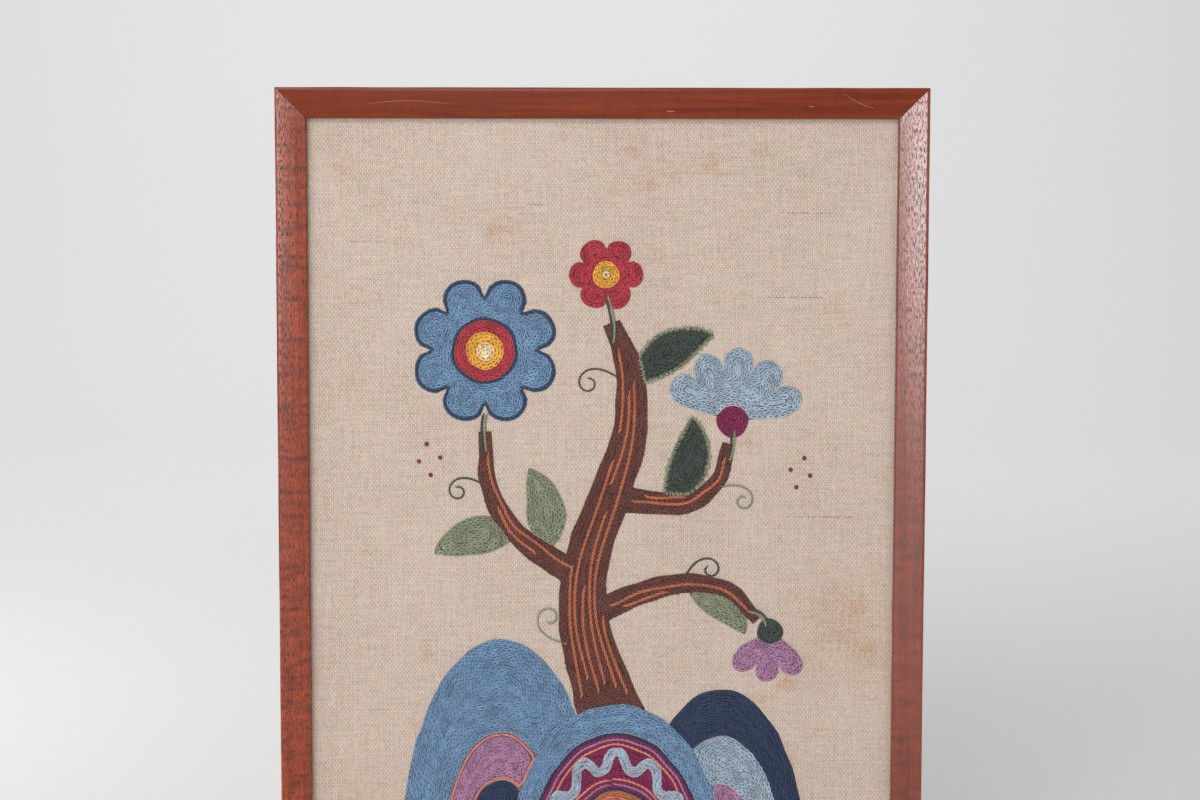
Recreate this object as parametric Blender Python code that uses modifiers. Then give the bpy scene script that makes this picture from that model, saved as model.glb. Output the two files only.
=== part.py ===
"""Crewel embroidery panel in a mitred hardwood frame, standing on its bottom edge.

Four rebated members meet at mitres. A sheet of linen sits in the rebate, and each field of wool
stitching is a thin pad on its front. The design is a flowering tree on three mounds.
Lengths are in millimetres until they go into a mesh. X runs to the right, Y to the back, Z up.
"""

import math
from collections import namedtuple

import bmesh
import bpy
import numpy as np
from mathutils import Vector

MM = 0.001

# Frame
SIGHT_WIDTH = 300.0
SIGHT_HEIGHT = 450.0
MOULDING_WIDTH = 15.5
MOULDING_DEPTH = 22.0
RIM_WIDTH = 1.5  # flat strip along the outer edge of the front
FACE_FALL = 2.0  # how far the front slopes back from the rim to the sight edge
LIP_THICKNESS = 5.0
REBATE_WIDTH = 6.0
EDGE_ROUNDING = 0.4
OUTER_WIDTH = SIGHT_WIDTH + 2 * MOULDING_WIDTH
OUTER_HEIGHT = SIGHT_HEIGHT + 2 * MOULDING_WIDTH
FRONT_Y = -MOULDING_DEPTH / 2
BACK_Y = MOULDING_DEPTH / 2
LIP_BACK_Y = FRONT_Y + FACE_FALL + LIP_THICKNESS

# Cloth and wool
GAP = 0.3  # between any two pieces
CLOTH_THICKNESS = 2.0
CLOTH_WIDTH = SIGHT_WIDTH + 2 * (REBATE_WIDTH - GAP)
CLOTH_HEIGHT = SIGHT_HEIGHT + 2 * (REBATE_WIDTH - GAP)
CLOTH_FRONT_Y = LIP_BACK_Y + GAP
WOOL_THICKNESS = 1.0
WOOL_MIDDLE_Y = CLOTH_FRONT_Y - GAP - WOOL_THICKNESS / 2
CUTTER_THICKNESS = 6.0
CUT_MARGIN = 0.5  # how far a cutter's outline stands outside the piece in front

Finish = namedtuple("Finish", "hex_colour roughness")
FINISHES = {
    "hardwood": Finish("#8A3F2E", 0.38),
    "linen": Finish("#CDBEAC", 0.90),
    "brown": Finish("#6C3F38", 0.85),
    "terracotta": Finish("#D0764F", 0.85),
    "blue": Finish("#7696B7", 0.85),
    "light_blue": Finish("#A6B7C6", 0.85),
    "navy": Finish("#303D5A", 0.85),
    "mauve": Finish("#B181A3", 0.85),
    "crimson": Finish("#B93B47", 0.85),
    "yellow": Finish("#EDAE44", 0.85),
    "cream": Finish("#F2DAAB", 0.85),
    "dark_green": Finish("#424A43", 0.85),
    "sage": Finish("#90967A", 0.85),
    "wine": Finish("#872652", 0.85),
}

# The design is laid out from the middle of the sight opening's bottom edge: x right, y up.
# Stems: the middle line's points, each with half the width there.
TRUNK = [(14, 96, 27), (10, 126, 19.5), (0, 158, 15), (-9, 190, 12.5), (-8, 222, 11), (3, 255, 10),
         (14, 288, 8.5), (14, 322, 6.5), (5, 346, 4)]
BRANCHES = {
    "branch_left": [(-6, 214, 6), (-26, 224, 6), (-46, 240, 5), (-58, 262, 4), (-60, 290, 2.8)],
    "branch_right": [(6, 256, 6), (26, 254, 5.5), (46, 254, 4.6), (60, 266, 3.6), (65, 284, 2.8)],
    "branch_low": [(-4, 196, 6), (18, 206, 5.4), (42, 212, 4.6), (66, 208, 3.6), (80, 193, 2.6)],
}
TRUNK_STEPS = 44
BRANCH_STEPS = 20

MOUND_BASE = 64
Mound = namedtuple("Mound", "name middle half_width height fields")
Field = namedtuple("Field", "name colour inner outer")  # inner and outer are shares of the mound
MOUNDS = [
    Mound("mound_front", 8, 56, 84, [
        Field("outer", "blue", 0.835, 1.0),
        Field("band", "wine", 0.47, 0.82),
        Field("core", "terracotta", 0, 0.455)]),
    Mound("mound_left", -52, 52, 118, [
        Field("outer", "blue", 0.60, 1.0),
        Field("band", "mauve", 0.385, 0.587),
        Field("core", "navy", 0, 0.372)]),
    Mound("mound_right", 62, 44, 92, [
        Field("outer", "navy", 0.745, 1.0),
        Field("band", "light_blue", 0.47, 0.73),
        Field("core", "mauve", 0, 0.455)]),
]
MOUND_STEPS = 49

# Flowers: lobes run from the start angle through the sweep, clockwise from straight up.
Flower = namedtuple("Flower", "name colour x y inner valley peak lobes start sweep")
FLOWERS = [
    Flower("rosette_petals", "blue", -60, 332, 15.8, 27, 38, 8, 0, 360),
    Flower("blossom_petals", "crimson", 2, 371, 7.1, 12, 18.5, 6, 0, 360),
    Flower("fan_petals", "light_blue", 67, 296, 8.4, 27, 37, 5, -72, 156),
    Flower("bell_petals", "mauve", 87, 187, 6.7, 17, 26, 3, 128, 112),
]
LOBE_STEPS = 10
LOBE_FULLNESS = 0.55

Ring = namedtuple("Ring", "name colour x y inner outer")
RINGS = [
    Ring("rosette_ring", "crimson", -60, 332, 10.0, 15.3),
    Ring("rosette_mid", "yellow", -60, 332, 4.9, 9.5),
    Ring("rosette_core", "cream", -60, 332, 0, 4.4),
    Ring("blossom_core", "yellow", 2, 371, 0, 6.6),
    Ring("fan_heart", "wine", 67, 296, 0, 7.8),
    Ring("bell_cap", "dark_green", 87, 187, 0, 6.2),
]
RING_STEPS = 32

Leaf = namedtuple("Leaf", "name colour x y lean length width curl")
LEAVES = [
    Leaf("leaf_dark_top", "dark_green", 19, 316, 55, 46, 19, 50),
    Leaf("leaf_dark_right", "dark_green", 33, 256, 20, 46, 19, -60),
    Leaf("leaf_sage_upper", "sage", -30, 229, -8, 44, 19, -50),
    Leaf("leaf_sage_outer", "sage", -44, 236, -100, 44, 19, -50),
    Leaf("leaf_sage_low", "sage", 44, 211, 128, 40, 17, 50),
]
LEAF_STEPS = 18
LEAF_BELLY = 0.45  # share of the length at which a leaf is widest
LEAF_FULLNESS = 0.8


def polar(x, y, radius, angle):
    """Points at a radius from (x, y), at angles clockwise from straight up."""
    turn = np.radians(angle)
    return np.stack([x + radius * np.sin(turn), y + radius * np.cos(turn)], axis=-1)


def smooth_route(points, steps):
    """A Catmull-Rom curve through the points, read at even steps."""
    knots = np.array(points, float)
    knots = np.vstack([2 * knots[0] - knots[1], knots, 2 * knots[-1] - knots[-2]])
    at = np.linspace(0, len(points) - 1, steps)
    first = np.minimum(at.astype(int), len(points) - 2)
    t = (at - first)[:, None]
    a, b, c, d = (knots[first + k] for k in range(4))
    bend = (2 * a - 5 * b + 4 * c - d) * t**2 + (3 * b - a - 3 * c + d) * t**3
    return 0.5 * (2 * b + (c - a) * t + bend)


def stem_outline(points, steps, margin=0.0):
    """Both sides of a smooth middle line, each at half the width from it."""
    route = smooth_route(points, steps)
    middle = route[:, :2]
    half = route[:, 2:] + margin
    along = np.gradient(middle, axis=0)
    along /= np.linalg.norm(along, axis=1)[:, None]
    across = np.stack([along[:, 1], -along[:, 0]], axis=1)
    return np.vstack([middle - half * across, (middle + half * across)[::-1]])


def mound_outline(mound, inner, outer, margin=0.0):
    """Half an ellipse on the base line, or the band between two of one shape."""
    turn = np.linspace(-math.pi / 2, math.pi / 2, MOUND_STEPS)
    round_top = np.stack([mound.half_width * np.sin(turn), mound.height * np.cos(turn)], axis=1)
    foot = np.array([mound.middle, MOUND_BASE])
    outside = foot + round_top * (outer + margin / mound.half_width)
    if not inner:
        return outside
    return np.vstack([outside, (foot + round_top * inner)[::-1]])


def lobed_edge(flower):
    """The petals' outer edge: the radius rises from valley to peak once a lobe, as a rounded sine."""
    share = np.linspace(0, 1, flower.lobes * LOBE_STEPS + 1)
    wave = np.abs(np.sin(math.pi * flower.lobes * share)) ** LOBE_FULLNESS
    radius = flower.valley + (flower.peak - flower.valley) * wave
    return polar(flower.x, flower.y, radius, flower.start + flower.sweep * share)


def leaf_outline(leaf):
    """A blade about a spine that turns evenly, widest at the belly and pointed at both ends."""
    share = (1 - np.cos(math.pi * np.linspace(0, 1, LEAF_STEPS))) / 2
    heading = np.radians(leaf.lean + leaf.curl * (share - 0.5))
    ahead = np.stack([np.sin(heading), np.cos(heading)], axis=1)
    steps = np.diff(share, prepend=0)[:, None] * leaf.length
    spine = np.array([leaf.x, leaf.y]) + np.cumsum(ahead * steps, axis=0)
    across = np.stack([ahead[:, 1], -ahead[:, 0]], axis=1)
    bulge = np.sin(math.pi * share ** (math.log(0.5) / math.log(LEAF_BELLY))) ** LEAF_FULLNESS
    half = leaf.width / 2 * bulge[:, None]
    return np.vstack([spine - half * across, (spine + half * across)[-2:0:-1]])


def linear(hex_colour):
    """An sRGB hex colour as linear RGB with alpha."""
    parts = [int(hex_colour[i : i + 2], 16) / 255 for i in (1, 3, 5)]
    return [c / 12.92 if c <= 0.04045 else ((c + 0.055) / 1.055) ** 2.4 for c in parts] + [1.0]


def finish(name):
    """The Principled material of that name, made once."""
    if name in bpy.data.materials:
        return bpy.data.materials[name]
    material = bpy.data.materials.new(name)
    material.use_nodes = True
    shader = material.node_tree.nodes["Principled BSDF"]
    shader.inputs["Base Color"].default_value = linear(FINISHES[name].hex_colour)
    shader.inputs["Roughness"].default_value = FINISHES[name].roughness
    shader.inputs["Metallic"].default_value = 0.0
    return material


def extruded(name, loops, thickness, collection):
    """A mesh slab with the loops as its outline and holes, in XY, thickness along Z."""
    curve = bpy.data.curves.new(name, "CURVE")
    curve.dimensions = "2D"
    curve.fill_mode = "BOTH"
    curve.extrude = thickness / 2 * MM
    for loop in loops:
        spline = curve.splines.new("POLY")
        spline.points.add(len(loop) - 1)
        spline.use_cyclic_u = True
        for point, (x, y) in zip(spline.points, loop):
            point.co = (x * MM, y * MM, 0, 1)
    flat = bpy.data.objects.new(name + "_outline", curve)
    collection.objects.link(flat)
    mesh = bpy.data.meshes.new_from_object(flat.evaluated_get(bpy.context.evaluated_depsgraph_get()))
    bpy.data.objects.remove(flat)
    bpy.data.curves.remove(curve)
    shape = bmesh.new()
    shape.from_mesh(mesh)
    bmesh.ops.remove_doubles(shape, verts=shape.verts, dist=1e-6)
    bmesh.ops.recalc_face_normals(shape, faces=shape.faces)
    shape.to_mesh(mesh)
    shape.free()
    mesh.name = name
    slab = bpy.data.objects.new(name, mesh)
    collection.objects.link(slab)
    return slab


def paint(piece, finish_name):
    piece.data.materials.clear()
    piece.data.materials.append(finish(finish_name))


def upright(slab, y):
    """Turns a slab from the XY plane to face the front, at depth y, over the sight opening."""
    slab.rotation_euler = (math.radians(90), 0, 0)
    slab.location = (0, y * MM, MOULDING_WIDTH * MM)


def cutter(name, outline, collection):
    block = extruded(name, [outline], CUTTER_THICKNESS, collection)
    upright(block, WOOL_MIDDLE_Y)
    block.hide_render = True
    block.display_type = "WIRE"
    return block


def boolean(piece, other, operation):
    modifier = piece.modifiers.new(other.name, "BOOLEAN")
    modifier.operation = operation
    modifier.object = other


def wool_pad(name, colour, loops, collection):
    pad = extruded(name, loops, WOOL_THICKNESS, collection)
    upright(pad, WOOL_MIDDLE_Y)
    paint(pad, colour)
    return pad


def make_member(name, length, turn, middle, collection):
    """One frame member: the rebated moulding, its ends cut at 45 degrees, its edges eased.

    The profile's X runs from the outer edge inwards, its Y from the front to the back, and Z
    along the member. The turn is about the part's Y axis.
    """
    rebate_x = MOULDING_WIDTH - REBATE_WIDTH
    profile = [
        (0, FRONT_Y),
        (RIM_WIDTH, FRONT_Y),
        (MOULDING_WIDTH, FRONT_Y + FACE_FALL),
        (MOULDING_WIDTH, LIP_BACK_Y),
        (rebate_x, LIP_BACK_Y),
        (rebate_x, BACK_Y),
        (0, BACK_Y),
    ]
    member = extruded(name, [profile], length, collection)
    shape = bmesh.new()
    shape.from_mesh(member.data)
    half = (length / 2 - GAP / math.sqrt(2)) * MM
    for side in (-1, 1):
        cut = bmesh.ops.bisect_plane(
            shape,
            geom=shape.verts[:] + shape.edges[:] + shape.faces[:],
            plane_co=Vector((0, 0, side * half)),
            plane_no=Vector((1, 0, side)),
            clear_outer=True,
        )
        rim = [edge for edge in cut["geom_cut"] if isinstance(edge, bmesh.types.BMEdge)]
        bmesh.ops.contextual_create(shape, geom=rim)
    bmesh.ops.recalc_face_normals(shape, faces=shape.faces)
    shape.to_mesh(member.data)
    shape.free()
    member.rotation_euler = (0, math.radians(turn), 0)
    member.location = (middle[0] * MM, 0, middle[1] * MM)
    easing = member.modifiers.new("eased edges", "BEVEL")
    easing.width = EDGE_ROUNDING * MM
    easing.segments = 2
    easing.limit_method = "ANGLE"
    easing.angle_limit = math.radians(30)
    paint(member, "hardwood")


def make_frame(collection):
    mid_height = OUTER_HEIGHT / 2
    make_member("frame_left", OUTER_HEIGHT, 0, (-OUTER_WIDTH / 2, mid_height), collection)
    make_member("frame_top", OUTER_WIDTH, 90, (0, OUTER_HEIGHT), collection)
    make_member("frame_right", OUTER_HEIGHT, 180, (OUTER_WIDTH / 2, mid_height), collection)
    make_member("frame_bottom", OUTER_WIDTH, -90, (0, 0), collection)


def make_cloth(collection):
    """The stretched linen: one flat sheet behind the frame's lip."""
    sheet = bmesh.new()
    bmesh.ops.create_cube(sheet, size=1)
    dimensions = Vector((CLOTH_WIDTH, CLOTH_THICKNESS, CLOTH_HEIGHT)) * MM
    bmesh.ops.scale(sheet, vec=dimensions, verts=sheet.verts)
    mesh = bpy.data.meshes.new("linen_sheet")
    sheet.to_mesh(mesh)
    sheet.free()
    cloth = bpy.data.objects.new("linen_sheet", mesh)
    cloth.location = (0, (CLOTH_FRONT_Y + CLOTH_THICKNESS / 2) * MM, OUTER_HEIGHT / 2 * MM)
    collection.objects.link(cloth)
    paint(cloth, "linen")


def make_mounds(collection, cutters):
    """The three mounds in bands. The front one hides part of the other two. Returns the cutters."""
    hiding = {
        mound.name: cutter(mound.name + "_cutter", mound_outline(mound, 0, 1, CUT_MARGIN), cutters)
        for mound in MOUNDS
    }
    for mound in MOUNDS:
        for field in mound.fields:
            outline = mound_outline(mound, field.inner, field.outer)
            pad = wool_pad(f"{mound.name}_{field.name}", field.colour, [outline], collection)
            if mound.name != "mound_front":
                boolean(pad, hiding["mound_front"], "DIFFERENCE")
    return hiding


def make_tree(collection, cutters, mound_cutters):
    """Trunk and branches in one piece, rising from behind the mounds."""
    trunk = wool_pad("trunk", "brown", [stem_outline(TRUNK, TRUNK_STEPS)], collection)
    for name, points in BRANCHES.items():
        branch = extruded(name, [stem_outline(points, BRANCH_STEPS)], WOOL_THICKNESS, cutters)
        upright(branch, WOOL_MIDDLE_Y)
        branch.hide_render = True
        branch.display_type = "WIRE"
        boolean(trunk, branch, "UNION")
    for mound_cutter in mound_cutters.values():
        boolean(trunk, mound_cutter, "DIFFERENCE")


def make_leaves(collection, cutters):
    """Leaves that spring from behind the trunk and branches."""
    stems = {"trunk": (TRUNK, TRUNK_STEPS)}
    stems.update({name: (points, BRANCH_STEPS) for name, points in BRANCHES.items()})
    stem_cutters = [
        cutter(name + "_cutter", stem_outline(points, steps, CUT_MARGIN), cutters)
        for name, (points, steps) in stems.items()
    ]
    for leaf in LEAVES:
        pad = wool_pad(leaf.name, leaf.colour, [leaf_outline(leaf)], collection)
        for stem_cutter in stem_cutters:
            boolean(pad, stem_cutter, "DIFFERENCE")


def make_flowers(collection):
    """Petals with a lobed edge round a hole or, on an open fan, over an arc, and their centres."""
    for flower in FLOWERS:
        outer = lobed_edge(flower)
        angles = flower.start + flower.sweep * np.linspace(0, 1, RING_STEPS + 1)
        inner = polar(flower.x, flower.y, flower.inner, angles)
        if flower.sweep == 360:
            loops = [outer[:-1], inner[:-1]]
        else:
            loops = [np.vstack([outer, inner[::-1]])]
        wool_pad(flower.name, flower.colour, loops, collection)
    for ring in RINGS:
        angles = np.linspace(0, 360, RING_STEPS, endpoint=False)
        loops = [polar(ring.x, ring.y, radius, angles) for radius in (ring.outer, ring.inner) if radius]
        wool_pad(ring.name, ring.colour, loops, collection)


def new_collection(name):
    collection = bpy.data.collections.new(name)
    bpy.context.scene.collection.children.link(collection)
    return collection


def main():
    for obj in list(bpy.data.objects):
        bpy.data.objects.remove(obj, do_unlink=True)
    panel = new_collection("crewel_panel")
    cutters = new_collection("cutters")
    make_frame(panel)
    make_cloth(panel)
    mound_cutters = make_mounds(panel, cutters)
    make_tree(panel, cutters, mound_cutters)
    make_leaves(panel, cutters)
    make_flowers(panel)


main()
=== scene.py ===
"""Looks of a crewel embroidery panel: an oiled hardwood frame, natural linen, and wool stitch by stitch.

The file is laid out as an add-on: property groups hold the sizes and colours, an operator makes each
group of pieces, and a panel in the 3D view's sidebar lists them. Lengths are in millimetres until a
mesh is made. A point on the cloth is (x, z), x to the right and z up, and its height is how far it
stands out of the cloth, towards the viewer.
"""

import math
from collections import namedtuple
from functools import partial

import bpy
import numpy as np
from bpy.props import FloatProperty, FloatVectorProperty, PointerProperty
from mathutils import Matrix, Vector


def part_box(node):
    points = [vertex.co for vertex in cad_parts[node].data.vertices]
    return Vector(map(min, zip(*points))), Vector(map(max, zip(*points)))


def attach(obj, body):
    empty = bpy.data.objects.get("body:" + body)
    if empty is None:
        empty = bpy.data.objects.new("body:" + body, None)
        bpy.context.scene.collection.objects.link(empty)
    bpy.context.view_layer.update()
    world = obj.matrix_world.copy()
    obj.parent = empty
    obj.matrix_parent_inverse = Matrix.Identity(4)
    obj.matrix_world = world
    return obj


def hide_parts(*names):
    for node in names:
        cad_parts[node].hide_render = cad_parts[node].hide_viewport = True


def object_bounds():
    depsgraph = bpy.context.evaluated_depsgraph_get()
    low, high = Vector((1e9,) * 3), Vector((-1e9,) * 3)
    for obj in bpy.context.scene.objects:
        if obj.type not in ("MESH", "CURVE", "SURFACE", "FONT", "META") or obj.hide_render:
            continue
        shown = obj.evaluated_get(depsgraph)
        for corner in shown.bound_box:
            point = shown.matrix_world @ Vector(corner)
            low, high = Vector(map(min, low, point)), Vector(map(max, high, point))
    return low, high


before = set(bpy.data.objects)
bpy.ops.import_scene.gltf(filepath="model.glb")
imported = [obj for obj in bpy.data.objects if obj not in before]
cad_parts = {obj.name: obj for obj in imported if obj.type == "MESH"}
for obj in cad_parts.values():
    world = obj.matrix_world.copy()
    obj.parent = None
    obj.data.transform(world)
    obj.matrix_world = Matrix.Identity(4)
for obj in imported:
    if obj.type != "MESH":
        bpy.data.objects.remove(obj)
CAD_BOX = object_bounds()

bl_info = {
    "name": "Crewel Embroidery Panel",
    "version": (1, 0, 0),
    "blender": (4, 5, 0),
    "location": "View3D > Sidebar > Crewel",
    "description": "Makes a framed linen panel worked in crewel wool",
    "category": "Add Mesh",
}

MM = 0.001
TAU = 2 * math.pi


def box_mm(node):
    """Lowest and highest corner of a solid, in millimetres."""
    low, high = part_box(node)
    return np.array(low) / MM, np.array(high) / MM


# Frame, read from the solids where they give it
FRAME_LOW, FRAME_HIGH = np.array(CAD_BOX[0]) / MM, np.array(CAD_BOX[1]) / MM
OUTER_WIDTH = FRAME_HIGH[0] - FRAME_LOW[0]
OUTER_HEIGHT = FRAME_HIGH[2]
FRONT_Y, BACK_Y = FRAME_LOW[1], FRAME_HIGH[1]
MOULDING_WIDTH = box_mm("frame_bottom")[1][2]
RIM_WIDTH = 1.5
FACE_FALL = 2.0
LIP_THICKNESS = 5.0
REBATE_WIDTH = 6.0
MITRE_GAP = 0.1
SIGHT_WIDTH = OUTER_WIDTH - 2 * MOULDING_WIDTH

# Cloth
CLOTH_LOW, CLOTH_HIGH = box_mm("linen_sheet")
CLOTH_Y = CLOTH_LOW[1]


def linear(hex_colour):
    """An sRGB hex colour as linear RGB."""
    parts = [int(hex_colour[i : i + 2], 16) / 255 for i in (1, 3, 5)]
    return tuple(c / 12.92 if c <= 0.04045 else ((c + 0.055) / 1.055) ** 2.4 for c in parts)


WOOLS = {
    "brown": "#6C3F38",
    "terracotta": "#D0764F",
    "blue": "#7696B7",
    "light_blue": "#A6B7C6",
    "navy": "#303D5A",
    "mauve": "#B181A3",
    "crimson": "#B93B47",
    "yellow": "#EDAE44",
    "cream": "#F2DAAB",
    "dark_green": "#424A43",
    "sage": "#90967A",
    "wine": "#872652",
    "salmon": "#E6907A",
}
GROUNDS = {
    "wood_light": "#9A4224",
    "wood_dark": "#5C2010",
    "wood_pore": "#331513",
    # pale edge colour: wear, and partly a painted highlight
    "wood_worn": "#B5694A",
    "wood_scuffed": "#BF8E78",
    "linen_light": "#DBCCC0",
    "linen_dark": "#AA9483",
    "foxing": "#EFBA78",
}


def colour_property(name, hex_colour):
    words = name.replace("_", " ")
    return FloatVectorProperty(
        name=words.capitalize(),
        description=f"Colour of the {words}",
        subtype="COLOR",
        size=3,
        min=0,
        max=1,
        default=linear(hex_colour),
    )


def length_property(name, description, millimetres):
    return FloatProperty(
        name=name, description=description, default=millimetres * MM, min=0, unit="LENGTH", precision=5
    )


class CrewelColours(bpy.types.PropertyGroup):
    """Colours of the wools, the linen and the wood."""

    __annotations__ = {name: colour_property(name, value) for name, value in (WOOLS | GROUNDS).items()}


class CrewelSizes(bpy.types.PropertyGroup):
    """Sizes of the stitches and the weave."""

    chain_length: length_property("Chain length", "Length of one chain stitch along its row", 2.9)
    chain_row: length_property("Chain row", "Distance between two rows of chain stitch", 2.15)
    stem_length: length_property("Stem step", "Step from one stem stitch to the next", 2.5)
    stem_row: length_property("Stem row", "Distance between two rows of stem stitch in a filling", 1.3)
    yarn_width: length_property("Yarn width", "Width of the yarn where it lies on the cloth", 0.84)
    warp_pitch: length_property("Warp pitch", "Distance between the linen's upright threads", 0.93)
    weft_pitch: length_property("Weft pitch", "Distance between the linen's level threads", 1.24)
    linen_thickness: length_property("Linen thickness", "Thickness of the linen", 0.8)


def size(name):
    """A size in millimetres."""
    return getattr(bpy.context.scene.crewel_sizes, name) / MM


def colour(name):
    return (*getattr(bpy.context.scene.crewel_colours, name), 1.0)


# Materials


def node(tree, kind, *inputs, output=0, **settings):
    """Adds a node, sets its properties, fills its inputs in turn or by name, and returns one output.

    An input that is a socket is linked, and any other is set as a value.
    """
    made = tree.nodes.new("ShaderNode" + kind)
    for key, value in settings.items():
        setattr(made, key, value)
    named = inputs[0] if inputs and isinstance(inputs[0], dict) else dict(enumerate(inputs))
    for key, value in named.items():
        if isinstance(value, bpy.types.NodeSocket):
            tree.links.new(value, made.inputs[key])
        else:
            made.inputs[key].default_value = value
    return made.outputs[output]


def new_material(name, **values):
    """A material, the function that adds nodes to it, and its Principled shader with the values set."""
    material = bpy.data.materials.new(name)
    material.use_nodes = True
    shader = material.node_tree.nodes["Principled BSDF"]
    for key, value in values.items():
        shader.inputs[key.replace("_", " ")].default_value = value
    return material, partial(node, material.node_tree), shader


def feed(shader, **outputs):
    """Links outputs of nodes to the shader's named sockets."""
    for key, output in outputs.items():
        shader.id_data.links.new(output, shader.inputs[key.replace("_", " ")])


PLY_TURN = 2.4  # along the yarn for one turn of a ply


def wool(name):
    """Two-ply crewel wool, spun and dyed. The eye sees a matt, slightly furry yarn with a slow twist."""
    title = "crewel wool " + name
    if title in bpy.data.materials:
        return bpy.data.materials[title]
    material, add, shader = new_material(
        title, Roughness=0.9, IOR=1.54, Sheen_Weight=0.25, Sheen_Roughness=0.5, Specular_IOR_Level=0.25
    )
    along = add("SeparateXYZ", add("UVMap", uv_map="yarn")).node.outputs
    turned = add("Math", along[0], TAU / PLY_TURN, operation="MULTIPLY")
    around = add("Math", along[1], 2 * TAU, turned, operation="MULTIPLY_ADD")
    ridge = add("Math", around, operation="SINE")
    place = add("TexCoord", output="Object")
    fibre = add("TexNoise", {"Vector": place, "Scale": 1 / (0.5 * MM), "Detail": 2.0})
    dye = add("TexNoise", {"Vector": place, "Scale": 1 / (9 * MM), "Detail": 1.0})
    tone = add("Attribute", output="Fac", attribute_name="shade")
    # A pattern, its range, and the tones at both ends: locks of fibre, a patchy dye, and painted shade in
    # the grooves between plies.
    for pattern in (
        (fibre, 0.3, 0.7, 0.86, 1.12),
        (dye, 0.3, 0.7, 0.93, 1.07),
        (ridge, -1.0, 0.3, 0.78, 1.04),
    ):
        tone = add("Math", tone, add("MapRange", *pattern), operation="MULTIPLY")
    dyed = add("VectorMath", {0: colour(name)[:3], "Scale": tone}, operation="SCALE")
    ply = add("MapRange", ridge, -1.0, 1.0, 0.0, 1.0)
    relief = add("Math", fibre, 0.35, ply, operation="MULTIPLY_ADD")
    bump = add("Bump", {"Height": relief, "Distance": 0.12 * MM, "Strength": 0.8})
    feed(shader, Base_Color=dyed, Normal=bump)
    return material


WEFT_LEVEL = 0.45  # how high the weft's rounds come, as a share of the warp's


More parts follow.
